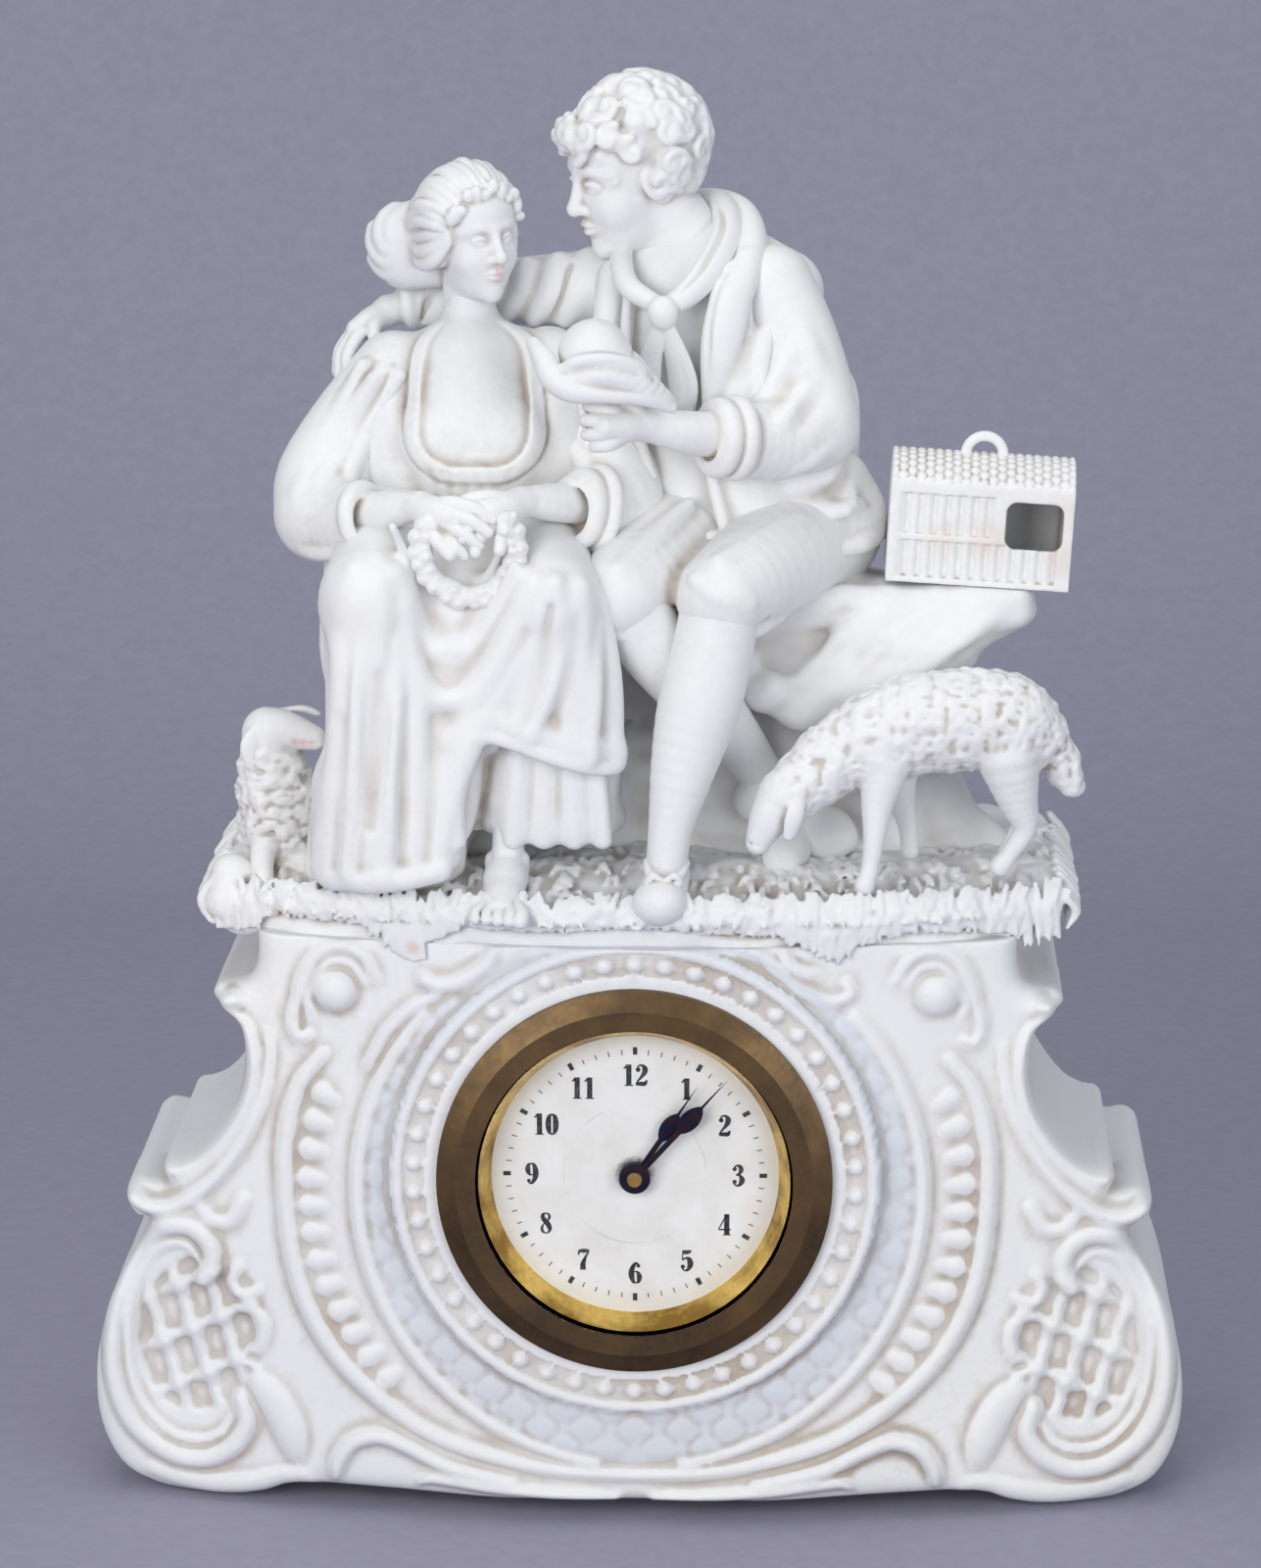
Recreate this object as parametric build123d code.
from build123d import *
import os
from math import acos, atan2, cos, degrees, pi, radians, sin, sqrt, tan

# A figural mantel clock in white bisque porcelain. A couple sits on a rock over a scrolled case,
# and a small brass drum movement fills the bore of the case.
# Millimetres. +Z is up and the dial faces -Y. The origin is on the table under the middle of the clock.

# Overall sizes
half_depth = 56.0
case_half_width = 136.0
case_height = 146.0
case_wall = 4.6
group_height = 200.0
overrun = 1.0
running_play = 0.05
seat_play = 0.1

# Case front, back and bore
dial_axis_height = 89.0
bezel_stand = 4.4
land_drop = 1.0
bow_drop = 1.6
front_fall = 17.0
shoulder_depth = 24.0
corner_inset = 13.0
bore_radius = 41.2
rim_radius = 51.0
land_radius = 60.0
ridge_radius = 58.0
ridge_thickness = 1.1
bead_circle_radius = 54.2
bead_radius = 2.2
bead_count = 45
back_ring_thickness = 2.0
screw_head_height = 1.8

# Case ornament
lattice_half_width = 22.0
lattice_half_height = 37.0
lattice_frame_radius = 4.6
lattice_turn = 24.0
lattice_foot_gap = 0.8
boss_radius = 5.2
scroll_radius = 3.0
centre_bead_radius = 6.0

# Grass ledge
ledge_thickness = 7.0
ledge_half_width = 106.0
ledge_front_overhang = 1.6
ledge_back_reach = 44.0
ledge_edge_round = 2.4
mound_rise = 11.0
tuft_radius = 5.0
tuft_length = 12.0

# Rock, figures and animals
rock_wave = 3.0
skirt_fold_depth = 2.6
skirt_fold_count = 8
woman_limb = 9.0
woman_head_radius = 12.6
man_limb = 10.0
man_head_radius = 14.6
curl_radius = 5.4
wreath_radius = 11.6
flower_radius = 3.0
hat_brim_radius = 14.5
hat_brim_thickness = 3.0
hat_crown_radius = 8.6
hat_crown_rise = 2.5
tie_width = 6.0
sheep_body_radius = 13.5
lamb_body_radius = 11.0

# Bird cage
cage_width = 45.0
cage_depth = 27.0
cage_wall_height = 25.0
cage_roof_rise = 5.0
cage_wall = 2.0
cage_bar_radius = 1.2
cage_bar_count = 11
cage_window_width = 13.5
cage_window_height = 11.5
cage_window_corner = 3.0
cage_lean = 3.5
cage_ring_radius = 4.0
cage_ring_wire_radius = 1.2

# Bezel, glass and sight ring
bezel_radius = 48.3
bezel_opening_radius = 38.7
bezel_lip = 1.2
bezel_edge_thickness = 2.0
glass_radius = 40.0
glass_thickness = 1.2
sight_wall = 0.6
sight_depth = 7.0
sight_inner_radius = 35.2
flange_radius = 43.2
flange_thickness = 0.6

# Dial and hands
dial_thickness = 0.6
dial_hole_radius = 3.0
dial_foot_radius = 1.0
dial_foot_circle = 30.0
hand_thickness = 0.5
hand_gap = 0.9
dial_to_hand_gap = 2.0
hour_hand_reach = 27.5
hour_bulb_place = 15.0
hour_bulb_width = 4.2
minute_hand_reach = 33.5
minute_bulb_place = 20.0
minute_bulb_width = 4.5
hand_stem_width = 1.3
hand_boss_radius = 3.8
hour_hand_angle = 33.5
minute_hand_angle = 42.0
collet_radius = 1.8
collet_height = 1.0

# Movement can and plates
can_wall = 0.6
can_length = 46.0
plate_radius = 36.5
plate_thickness = 1.6
plate_gap = 20.8
motion_work_depth = 7.8
pillar_radius = 2.0
pillar_circle = 32.5
pillar_screw_radius = 1.0
nut_radius = 2.6
nut_height = 1.8
pillar_angles = (0.0, 120.0, 165.0, 285.0)

# Wheel work
pressure_angle = 25.0
addendum_share = 0.8
dedendum_share = 1.05
tooth_play = 0.08
wheel_thickness = 1.2
fine_wheel_thickness = 0.4
pinion_width = 2.6
arbor_radius = 0.85
pivot_radius = 0.5
barrel_teeth = 72
barrel_module = 0.45
centre_pinion_teeth = 12
centre_wheel_teeth = 80
centre_module = 0.4
third_pinion_teeth = 10
third_wheel_teeth = 75
third_module = 0.35
fourth_pinion_teeth = 10
fourth_wheel_teeth = 80
fourth_module = 0.28
escape_pinion_teeth = 10
escape_wheel_teeth = 15
escape_radius = 5.6
cannon_teeth = 12
minute_wheel_teeth = 36
cannon_module = 0.35
minute_pinion_teeth = 10
hour_wheel_teeth = 40
barrel_direction = 200.0
third_direction = 70.0
fourth_direction = -20.0
escape_direction = -95.0
pallet_direction = -82.0
balance_direction = -130.0
minute_wheel_direction = 250.0
pallet_distance = 9.5
balance_distance = 12.0
rim_width = 1.7
spoke_width = 1.4
spoke_count = 4
hub_radius = 2.6

# Barrel and winding
barrel_drum_radius = 14.4
barrel_depth = 12.0
barrel_wall = 0.7
barrel_arbor_radius = 2.2
mainspring_turns = 9
mainspring_thickness = 0.3
ratchet_teeth = 24
ratchet_radius = 6.2
ratchet_tooth_height = 0.9
ratchet_thickness = 1.2
click_length = 8.0
click_width = 2.4
key_reach = 34.0
key_wing_length = 11.0
key_wing_height = 8.0
key_wing_thickness = 2.2
key_hub_radius = 3.2
knob_radius = 6.5
knob_length = 6.0
knob_reach = 22.0
knob_flutes = 18

# Escapement
balance_radius = 9.0
balance_rim_width = 1.3
balance_thickness = 1.3
hairspring_turns = 5
hairspring_thickness = 0.16
hairspring_width = 0.6
hairspring_inner_radius = 1.5
hairspring_outer_radius = 5.6
pallet_thickness = 0.6
pallet_arm_width = 1.1

# Fixing
strap_thickness = 1.0
strap_width = 9.0
strap_foot_length = 6.0
strap_foot_thickness = 2.4
back_ring_radius = 46.0
back_ring_hole_radius = 34.0
fixing_screw_radius = 1.5
fixing_head_radius = 2.8

# Places along the dial axis, from front to back
bezel_front = -half_depth
rim_front = bezel_front + bezel_stand
land_front = rim_front + land_drop
case_front = land_front + bow_drop
case_back = half_depth - screw_head_height - back_ring_thickness
glass_front = bezel_front + bezel_lip
sight_front = glass_front + glass_thickness
dial_front = sight_front + sight_depth
dial_back = dial_front + dial_thickness
front_plate_front = dial_back + motion_work_depth
front_plate_back = front_plate_front + plate_thickness
back_plate_front = front_plate_back + plate_gap
back_plate_back = back_plate_front + plate_thickness
can_front = rim_front - flange_thickness
can_back = can_front + can_length
can_inner_radius = bezel_opening_radius
can_outer_radius = can_inner_radius + can_wall
ledge_bottom = case_height
ledge_top = ledge_bottom + ledge_thickness


def dial_frame(y):
    return Plane(origin=(0, y, dial_axis_height), x_dir=(1, 0, 0), z_dir=(0, -1, 0))


def disc(radius, front, back, x=0.0, z=0.0):
    flat = dial_frame(front) * Pos(x, z) * Circle(radius)
    return extrude(flat, amount=front - back)


def ring(outer, inner, front, back, x=0.0, z=0.0):
    margin = overrun
    return disc(outer, front, back, x, z) - disc(inner, front - margin, back + margin, x, z)


def turned(profile):
    # A profile of (radius, y) points turned about the dial axis.
    points = [(r, y, dial_axis_height) for r, y in profile]
    return revolve(make_face(Polyline(*points, close=True)), axis=dial_axis(), revolution_arc=360)


def dial_axis():
    return Axis((0, 0, dial_axis_height), (0, 1, 0))


def largest(shape):
    return max(shape.solids(), key=lambda s: s.volume)


def seated(piece, *carriers):
    for carrier in carriers:
        piece = piece - carrier
    return largest(piece)


def polar(radius, angle):
    return radius * cos(radians(angle)), radius * sin(radians(angle))


# Case

# Outline of the right half, from the middle of the bottom edge to the neck,
# as shares of the half width and the height.
case_bottom_shares = [(0.0, 0.03), (0.40, 0.03), (0.62, 0.035), (0.68, 0.0), (0.87, 0.0)]
case_volute_shares = [(0.87, 0.0), (0.965, 0.078), (1.0, 0.205), (0.965, 0.35), (0.89, 0.481)]
case_tip_shares = [(0.89, 0.481), (0.932, 0.52), (0.91, 0.557), (0.862, 0.566)]
case_waist_shares = [(0.866, 0.598), (0.80, 0.632), (0.735, 0.72), (0.715, 0.798), (0.722, 0.844)]
case_scroll_shares = [(0.722, 0.844), (0.768, 0.89), (0.712, 0.931)]
case_neck_share = 0.70


def case_point(share, side):
    return side * share[0] * case_half_width, share[1] * case_height


def case_half_outline(side):
    bottom = [case_point(s, side) for s in case_bottom_shares]
    volute = [case_point(s, side) for s in case_volute_shares]
    tip = [case_point(s, side) for s in case_tip_shares]
    waist = [case_point(s, side) for s in case_waist_shares]
    scroll = [case_point(s, side) for s in case_scroll_shares]
    neck = case_point((case_neck_share, 1.0), side)
    edges = [Polyline(*bottom), Spline(*volute), Spline(*tip), Line(tip[-1], waist[0])]
    edges += [Spline(*waist), ThreePointArc(*scroll), Line(scroll[-1], neck)]
    edges += [Line(neck, (0, case_height)), Line((0, case_height), bottom[0])]
    return make_face(edges)


def case_outline():
    return case_half_outline(1) + case_half_outline(-1)


def case_plan(inset):
    # Bowed front, rounded front corners and a flat back, drawn in by the inset.
    front = case_front + inset
    back = case_back - inset
    side = case_half_width - inset
    corner = side - corner_inset
    corner_front = front + front_fall
    side_front = corner_front + shoulder_depth
    edges = [ThreePointArc((-corner, corner_front), (0, front), (corner, corner_front))]
    for s in (-1, 1):
        edges += [Line((s * side, side_front), (s * side, back))]
        middle = ((corner + side) / 2 + inset_bulge(), (corner_front + side_front) / 2 - inset_bulge())
        edges += [ThreePointArc((s * corner, corner_front), (s * middle[0], middle[1]), (s * side, side_front))]
    edges += [Line((-side, back), (side, back))]
    return make_face(edges)


def inset_bulge():
    return corner_inset / 4


def case_inside():
    # The hollow follows the outline a wall further in, without the tips, and is open underneath.
    edges = []
    for side in (-1, 1):
        volute = [inward(case_point(s, side), side) for s in case_volute_shares]
        waist = [inward(case_point(s, side), side) for s in case_waist_shares]
        start = (volute[0][0], -overrun)
        neck = inward(case_point((case_neck_share, 1.0), side), side)
        top = (neck[0], case_height - case_wall)
        edges += [Line((0, -overrun), start), Line(start, volute[0]), Spline(*volute)]
        edges += [Line(volute[-1], waist[0]), Spline(*waist), Line(waist[-1], top), Line(top, (0, top[1]))]
    return make_face(edges)


def inward(point, side):
    return point[0] - side * case_wall, point[1]


def case_shell():
    margin = overrun
    outer = extrude(Plane.XZ * case_outline(), amount=half_depth, both=True)
    plan = Pos(0, 0, -margin) * extrude(case_plan(0.0), amount=case_height + margin * 2)
    inner = extrude(Plane.XZ * case_inside(), amount=half_depth, both=True)
    inner_plan = Pos(0, 0, -margin * 2) * extrude(case_plan(case_wall), amount=case_height + margin * 4)
    return (outer & plan) - (inner & inner_plan)


def bead_ring():
    beads = []
    for i in range(bead_count):
        x, z = polar(bead_circle_radius, 360 * i / bead_count)
        beads.append(Pos(x, land_front, dial_axis_height + z) * Sphere(bead_radius))
    return beads


def make_whole_case():
    body = case_shell()
    body = body + disc(land_radius, land_front, case_front + front_fall)
    body = body + disc(rim_radius, rim_front, land_front + overrun)
    ridge = ring(ridge_radius + ridge_thickness, ridge_radius, rim_front, land_front + overrun)
    body = body + ridge + bead_ring()
    clearance = turned([
        (0, rim_front + case_wall + bezel_stand),
        (land_radius + ridge_thickness, rim_front + case_wall + bezel_stand + front_fall),
        (land_radius + ridge_thickness, case_front + front_fall * 2),
        (0, case_front + front_fall * 2),
    ])
    body = body - clearance
    body = body - disc(bore_radius, bezel_front, case_back + overrun)
    top = Pos(0, 0, case_height + land_radius / 2) * Box(land_radius * 4, half_depth * 2, land_radius)
    return body - top


def back_wall_room():
    return Pos(0, case_back, 0) * Box(case_half_width * 4, case_wall * 2, case_height * 4)


def make_case_body(whole_case):
    return largest(whole_case - back_wall_room())


def make_case_back_wall(whole_case):
    return largest(whole_case & back_wall_room())


# Applied ornament of the case

# Places as shares of the half width and the height of the case.
lattice_side_share = 0.81
boss_place_share = (0.54, 0.92)
ribbon_shares = [(0.60, 0.13), (0.54, 0.065), (0.46, 0.10), (0.38, 0.075), (0.33, 0.02)]
shoulder_scroll_shares = [(0.655, 0.84), (0.63, 0.93), (0.55, 0.965), (0.45, 0.94)]


def front_surface(x):
    # Depth of the bowed front at a distance from the middle.
    corner = case_half_width - corner_inset
    radius = (corner**2 + front_fall**2) / (2 * front_fall)
    return case_front + radius - sqrt(max(radius**2 - min(abs(x), corner)**2, 0.0))


def on_front(share, side):
    x = side * share[0] * case_half_width
    return Vector(x, front_surface(x), share[1] * case_height)


def rod(stations):
    # A round bar through (place, radius) stations. Each bend is mitred.
    rings = []
    for i, (spot, radius) in enumerate(stations):
        before = stations[max(i - 1, 0)][0]
        after = stations[min(i + 1, len(stations) - 1)][0]
        way = (after - spot).normalized() if i == 0 else (spot - before).normalized()
        if 0 < i < len(stations) - 1:
            way = way + (after - spot).normalized()
        rings.append(Plane(origin=spot, z_dir=way) * Circle(radius))
    return loft(rings, ruled=True)


def tube(points, radius):
    return rod([(p, radius) for p in points])


def lattice_frame(side):
    # The raised oval frame round the basket work of a foot, just clear of the table.
    stretch = lattice_half_height / lattice_half_width
    frame = Rot(90, 0, 0) * Torus(lattice_half_width, lattice_frame_radius)
    frame = scale(frame, by=(1, 1, stretch))
    height = lattice_half_height + lattice_frame_radius * stretch + lattice_foot_gap
    spot = on_front((lattice_side_share, height / case_height), side)
    return Pos(*spot) * Rot(0, 0, side * lattice_turn) * frame


def make_case_scrolls(*carriers):
    pieces = []
    for side in (-1, 1):
        pieces.append(lattice_frame(side))
        boss = Pos(*on_front(boss_place_share, side)) * Sphere(boss_radius)
        pieces.append(seated(boss, *carriers))
        for shares in (ribbon_shares, shoulder_scroll_shares):
            rod = tube([on_front(s, side) for s in shares], scroll_radius)
            pieces.append(seated(rod, *carriers))
    bead_place = Vector(0, case_front, centre_bead_radius)
    pieces.append(seated(Pos(*bead_place) * Sphere(centre_bead_radius), *carriers))
    return Compound(pieces)


# Ledge and rock

# Plan of the ledge as shares of its half width, and of its front or back reach.
ledge_front_shares = [(-1.0, 0.35), (-0.93, 0.72), (-0.5, 0.93), (0.0, 1.0), (0.5, 0.93), (0.93, 0.72), (1.0, 0.35)]
ledge_back_shares = [(1.0, 0.35), (0.95, 0.8), (0.7, 1.0), (-0.7, 1.0), (-0.95, 0.8), (-1.0, 0.35)]


def ledge_plan(shrink_share):
    front = rim_front - ledge_front_overhang
    wide = ledge_half_width * shrink_share
    front_points = [(x * wide, y * front * shrink_share) for x, y in ledge_front_shares]
    back_points = [(x * wide, y * ledge_back_reach * shrink_share) for x, y in ledge_back_shares]
    back_points[0] = front_points[-1]
    back_points[-1] = front_points[0]
    return make_face([Spline(*front_points), Polyline(*back_points)])


tuft_shares = [(-0.62, 1.0), (-0.3, 0.8), (0.33, 0.9), (0.68, 1.0), (0.02, 0.6), (-0.85, 0.6), (0.86, 0.6)]


def ledge_tufts():
    tufts = []
    for along, drop in tuft_shares:
        x = along * ledge_half_width
        y = front_surface(x) - ledge_front_overhang
        length = tuft_length * drop
        top = Pos(x, y, ledge_bottom + tuft_radius / 2)
        cone = Solid.make_cone(tuft_radius, tuft_radius / 4, length, Plane(origin=(0, 0, 0), z_dir=(0, 0, -1)))
        tufts.append(top * cone)
    return tufts


def make_grass_ledge(case_body):
    drawn_in = 1.0 - ledge_edge_round / ledge_half_width
    levels = [(drawn_in, ledge_bottom), (1.0, ledge_bottom + ledge_edge_round)]
    levels += [(1.0, ledge_top - ledge_edge_round), (drawn_in, ledge_top)]
    slab = loft([Pos(0, 0, z) * ledge_plan(share) for share, z in levels], ruled=True)
    low = Pos(0, 0, ledge_top - overrun) * ledge_plan(mound_foot_share)
    high = Pos(0, mound_back_share * ledge_back_reach, ledge_top + mound_rise) * ledge_plan(mound_top_share)
    slab = slab + loft([low, high]) + ledge_tufts()
    return seated(slab, case_body)


mound_foot_share = 0.94
mound_top_share = 0.78
mound_back_share = 0.12


def place(share):
    # A place in the group, as shares of its height from the middle of the ledge's top.
    return Vector(share[0] * group_height, share[1] * group_height, ledge_top + share[2] * group_height)


wave_points = 4


def oval(x, y, z, half_x, half_y, wave=0.0, waves=7, turn=0.0):
    # A level oval outline, with an even wave round it where one is given.
    spot = place((x, y, z))
    half_x, half_y = half_x * group_height, half_y * group_height
    if wave == 0.0:
        return Pos(*spot) * Ellipse(half_x, half_y)
    points = []
    steps = waves * wave_points
    for i in range(steps):
        a = 2 * pi * i / steps
        out = wave * cos(waves * a + turn)
        points.append(spot + Vector((half_x + out) * cos(a), (half_y + out) * sin(a), 0))
    return make_face(Spline(*points, periodic=True))


def stack(levels, **form):
    return loft([oval(*level, **form) for level in levels])


# Each level is x, y, z, half width and half depth, as shares of the group's height.
rock_shares = [
    (0.06, 0.04, 0.0, 0.36, 0.135), (0.045, 0.05, 0.16, 0.33, 0.115),
    (0.06, 0.06, 0.30, 0.34, 0.11), (0.13, 0.06, 0.375, 0.37, 0.105),
]


def make_rock_seat(grass_ledge):
    return seated(stack(rock_shares, wave=rock_wave, waves=6), grass_ledge)


# Limbs and folds shared by the figures

def ball(share, radius):
    return Pos(*place(share)) * Sphere(radius)


def limb(stations, thickness):
    # A tapering limb: each station is x, y, z as shares of the group and its radius as a share.
    return rod([(place((x, y, z)), r * thickness) for x, y, z, r in stations])


# Woman

skirt_fall_shares = [
    (-0.205, -0.11, 0.035, 0.185, 0.115), (-0.215, -0.125, 0.20, 0.195, 0.11),
    (-0.21, -0.145, 0.33, 0.18, 0.095), (-0.205, -0.15, 0.41, 0.15, 0.075),
]
skirt_lap_shares = [
    (-0.205, -0.07, 0.28, 0.19, 0.15), (-0.205, -0.06, 0.40, 0.175, 0.14), (-0.20, -0.035, 0.52, 0.08, 0.065),
]
knee_shares = [(-0.315, -0.19, 0.375), (-0.10, -0.19, 0.375)]
hip_shares = [(-0.25, 0.0, 0.42), (-0.15, 0.0, 0.42)]
knee_radius_share = 1.25
hip_radius_share = 1.5
bodice_shares = [
    (-0.20, -0.035, 0.52, 0.075, 0.06), (-0.20, -0.03, 0.58, 0.105, 0.078), (-0.205, 0.0, 0.655, 0.10, 0.06),
    (-0.21, 0.01, 0.685, 0.045, 0.035),
]
bust_shares = [(-0.235, -0.075, 0.59), (-0.165, -0.075, 0.595)]
bust_radius_share = 0.72
woman_chin_size_share = 0.68
woman_hair_size_share = 1.02
woman_bun_size_share = 0.72
woman_neck_shares = [(-0.21, 0.01, 0.67, 0.55), (-0.226, 0.004, 0.75, 0.5)]
woman_head_share = (-0.222, -0.015, 0.805)
woman_chin_share = (-0.205, -0.035, 0.77)
woman_hair_share = (-0.25, 0.015, 0.83)
woman_bun_share = (-0.312, 0.012, 0.79)
woman_right_arm_shares = [
    (-0.305, 0.005, 0.64, 0.95), (-0.38, -0.045, 0.465, 1.3), (-0.34, -0.105, 0.485, 1.05), (-0.19, -0.2, 0.51, 0.42),
]
woman_left_arm_shares = [
    (-0.115, 0.03, 0.65, 0.95), (-0.035, -0.05, 0.485, 1.25), (-0.065, -0.125, 0.50, 1.0), (-0.165, -0.205, 0.51, 0.42),
]
woman_foot_shares = [(-0.15, -0.175, 0.10, 0.55), (-0.155, -0.205, 0.035, 0.5), (-0.17, -0.255, 0.018, 0.45)]


def make_woman_skirt(*carriers):
    fall = stack(skirt_fall_shares, wave=skirt_fold_depth, waves=skirt_fold_count)
    lap = stack(skirt_lap_shares)
    skirt = fall + lap
    for knee, hip in zip(knee_shares, hip_shares):
        thigh = limb([(*hip, hip_radius_share), (*knee, knee_radius_share)], woman_limb)
        skirt = skirt + thigh
    return seated(skirt, *carriers)


def make_woman_bodice(*carriers):
    bodice = stack(bodice_shares)
    for spot in bust_shares:
        bodice = bodice + ball(spot, bust_radius_share * woman_limb)
    return seated(bodice, *carriers)


def make_woman_head(*carriers):
    r = woman_head_radius
    head = ball(woman_chin_share, r * woman_chin_size_share) + ball(woman_head_share, r)
    head = head + ball(woman_hair_share, r * woman_hair_size_share)
    head = head + ball(woman_bun_share, r * woman_bun_size_share)
    head = head + limb(woman_neck_shares, woman_limb)
    return seated(head, *carriers)


def make_woman_foot(*carriers):
    return seated(limb(woman_foot_shares, woman_limb), *carriers)


# Wreath

wreath_share = (-0.20, -0.215, 0.455)


def make_flower_wreath(*carriers):
    wreath = Rot(90, 0, 0) * Torus(wreath_radius, flower_radius)
    return seated(Pos(*place(wreath_share)) * wreath, *carriers)


# Man

jacket_shares = [
    (0.165, 0.03, 0.415, 0.125, 0.10), (0.15, 0.025, 0.53, 0.12, 0.09), (0.105, 0.03, 0.66, 0.125, 0.075),
    (0.065, 0.04, 0.745, 0.075, 0.05), (0.045, 0.045, 0.785, 0.04, 0.035),
]
breeches_shares = [
    [(0.20, 0.04, 0.42, 1.45), (0.10, -0.16, 0.385, 1.2)],
    [(0.10, 0.03, 0.42, 1.35), (-0.015, -0.15, 0.385, 1.15)],
]
man_left_leg_shares = [
    (0.103, -0.165, 0.375, 1.0), (0.075, -0.175, 0.26, 0.95), (0.045, -0.205, 0.09, 0.55), (0.04, -0.215, 0.05, 0.6),
]
man_left_shoe_shares = [(0.045, -0.18, 0.03, 0.7), (0.03, -0.262, 0.025, 0.72)]
man_right_leg_shares = [
    (-0.015, -0.15, 0.375, 0.95), (0.075, -0.07, 0.26, 0.85), (0.155, -0.01, 0.13, 0.6),
]
man_right_shoe_shares = [(0.16, -0.01, 0.12, 0.7), (0.185, -0.08, 0.06, 0.65)]
man_neck_shares = [(0.04, 0.04, 0.75, 0.72), (0.02, 0.03, 0.84, 0.68)]
man_head_share = (-0.03, 0.01, 0.88)
man_chin_share = (-0.05, -0.02, 0.835)
man_hair_share = (0.01, 0.035, 0.925)
curl_places_share = [
    (-0.08, -0.02, 0.945), (-0.02, -0.02, 0.985), (0.06, 0.0, 0.965), (0.07, 0.04, 0.885), (0.0, 0.075, 0.98),
]
man_left_arm_shares = [
    (0.155, 0.035, 0.725, 1.1), (0.232, -0.02, 0.575, 1.15), (0.11, -0.115, 0.585, 0.95), (0.02, -0.17, 0.605, 0.55),
    (-0.03, -0.19, 0.615, 0.75),
]
man_right_arm_shares = [
    (-0.005, 0.055, 0.725, 1.0), (-0.14, 0.10, 0.72, 0.85), (-0.29, 0.085, 0.715, 0.55), (-0.345, 0.045, 0.69, 0.6),
    (-0.365, 0.01, 0.62, 0.35),
]
collar_shares = [(0.075, 0.06, 0.765), (0.085, 0.0, 0.755), (0.035, -0.045, 0.735)]
collar_far_shares = [(0.03, 0.06, 0.77), (-0.02, 0.0, 0.75), (0.02, -0.045, 0.735)]
tie_end_shares = [[(0.025, -0.055, 0.725), (0.035, -0.075, 0.63)], [(0.02, -0.055, 0.725), (0.005, -0.08, 0.64)]]
hat_share = (-0.045, -0.185, 0.665)
hat_lean = 18.0
hat_nod = 20.0


def make_man_jacket(*carriers):
    return seated(stack(jacket_shares), *carriers)


def make_man_breeches(*carriers):
    near, far = breeches_shares
    return seated(limb(near, man_limb) + limb(far, man_limb), *carriers)


def make_man_left_leg(*carriers):
    leg = limb(man_left_leg_shares, man_limb) + limb(man_left_shoe_shares, man_limb)
    return seated(leg, *carriers)


def make_man_right_leg(*carriers):
    leg = limb(man_right_leg_shares, man_limb) + limb(man_right_shoe_shares, man_limb)
    return seated(leg, *carriers)


def make_man_head(*carriers):
    r = man_head_radius
    head = ball(man_chin_share, r * 0.7) + ball(man_head_share, r) + ball(man_hair_share, r * 1.09)
    head = head + limb(man_neck_shares, man_limb)
    for spot in curl_places_share:
        head = head + ball(spot, curl_radius)
    return seated(head, *carriers)


def make_neckerchief(*carriers):
    half = tie_width / 2
    scarf = tube([place(s) for s in collar_shares], half)
    scarf = scarf + tube([place(s) for s in collar_far_shares], half)
    for ends in tie_end_shares:
        scarf = scarf + tube([place(s) for s in ends], half)
    return seated(scarf, *carriers)


def make_hat(*carriers):
    crown = Pos(0, 0, hat_crown_rise) * Sphere(hat_crown_radius)
    form = Cylinder(hat_brim_radius, hat_brim_thickness) + crown
    return seated(Pos(*place(hat_share)) * Rot(hat_nod, hat_lean, 0) * form, *carriers)


# Animals

sheep_back_shares = [(0.30, -0.165, 0.215, 0.86), (0.38, -0.15, 0.225, 1.0), (0.455, -0.14, 0.22, 0.95)]
sheep_neck_shares = [(0.28, -0.165, 0.21, 0.75), (0.20, -0.185, 0.17, 0.52), (0.165, -0.2, 0.135, 0.42)]
sheep_muzzle_shares = [(0.17, -0.2, 0.15, 0.42), (0.145, -0.205, 0.105, 0.26)]
sheep_tail_shares = [(0.49, -0.135, 0.22, 0.5), (0.525, -0.13, 0.15, 0.42)]
sheep_leg_shares = [
    [(0.29, -0.195, 0.17, 0.4), (0.285, -0.205, 0.09, 0.2), (0.275, -0.21, 0.03, 0.22)],
    [(0.30, -0.12, 0.17, 0.4), (0.325, -0.12, 0.09, 0.2), (0.335, -0.12, 0.05, 0.22)],
    [(0.46, -0.17, 0.16, 0.42), (0.465, -0.165, 0.10, 0.22), (0.44, -0.165, 0.04, 0.22)],
    [(0.46, -0.10, 0.16, 0.42), (0.475, -0.09, 0.10, 0.22), (0.455, -0.09, 0.05, 0.22)],
]
lamb_body_shares = [(-0.445, -0.07, 0.05, 1.0), (-0.45, -0.085, 0.12, 0.85), (-0.46, -0.09, 0.175, 0.6)]
lamb_head_shares = [(-0.455, -0.09, 0.205, 0.6), (-0.40, -0.1, 0.205, 0.33)]
lamb_leg_shares = [(-0.455, -0.12, 0.09, 0.34), (-0.458, -0.165, 0.02, 0.26)]
lamb_ear_shares = [(-0.475, -0.09, 0.225, 0.3), (-0.50, -0.085, 0.205, 0.18)]


def make_grazing_sheep(*carriers):
    sheep = limb(sheep_back_shares, sheep_body_radius)
    for part in (sheep_neck_shares, sheep_muzzle_shares, sheep_tail_shares, *sheep_leg_shares):
        sheep = sheep + limb(part, sheep_body_radius)
    return seated(sheep, *carriers)


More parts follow.
